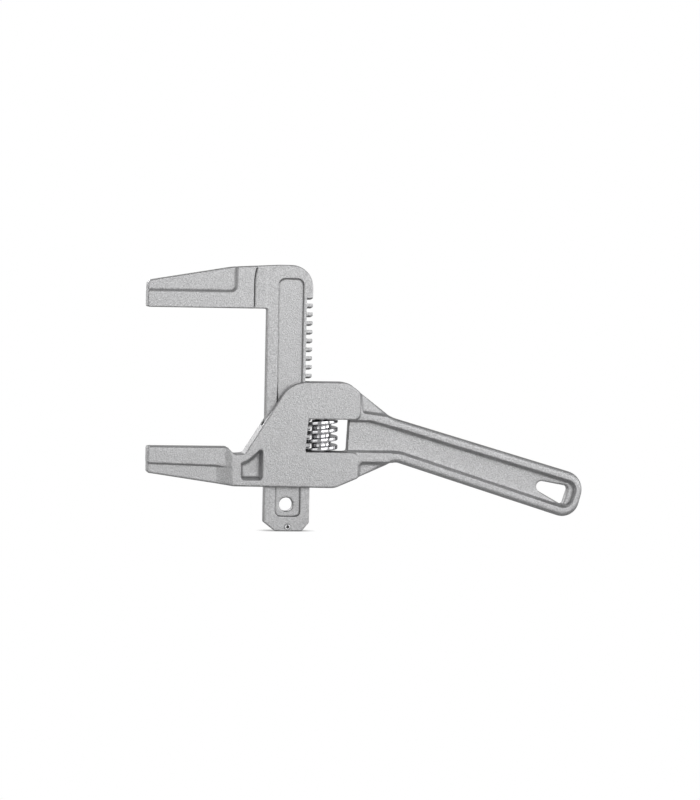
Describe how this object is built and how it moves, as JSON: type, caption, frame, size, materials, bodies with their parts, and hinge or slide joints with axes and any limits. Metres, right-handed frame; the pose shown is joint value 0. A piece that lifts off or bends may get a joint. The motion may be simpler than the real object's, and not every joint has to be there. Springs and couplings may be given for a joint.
{
  "type": "adjustable wide-opening wrench",
  "caption": "Adjustable wide-opening wrench with a fixed lower jaw, an L-shaped sliding jaw on a rack, a thumb worm and a ribbed handle with a hanging slot.",
  "frame": {"origin": "middle of the fixed jaw's gripping face, on the tool's mid-plane", "axes": "+Z is the way the sliding jaw opens, square to the fixed jaw's face; +X runs from the jaws towards the handle; Y is the tool's thickness"},
  "size_m": [0.2428, 0.018, 0.1458],
  "materials": {
    "body_aluminium": "bead-blasted die casting",
    "slide_aluminium": "bead-blasted die casting",
    "worm_chrome": "bright plated",
    "axle_steel": "turned",
    "spring_steel": "drawn wire",
    "pin_steel": "rolled"
  },
  "bodies": {
    "body": {"body_casting": "body_aluminium", "worm_axle": "axle_steel", "worm_spring": "spring_steel"},
    "slide": {"sliding_jaw": "slide_aluminium", "stop_pin": "pin_steel"},
    "worm": {"worm": "worm_chrome"}
  },
  "joints": [
    {"name": "worm_spin", "type": "hinge", "parent": "body", "child": "worm", "pos_m": [0.0748, 0, 0.00675], "axis": [0, 0, 1], "range_deg": [-300.5, 4741]},
    {"name": "jaw_slide", "type": "slide", "parent": "body", "child": "slide", "axis": [0, 0, 1], "range_m": [-0.0632, 0.004]}
  ],
  "couplings": [
    {"joint": "worm_spin", "follows": "jaw_slide", "rad_per_m": -1309}
  ]
}
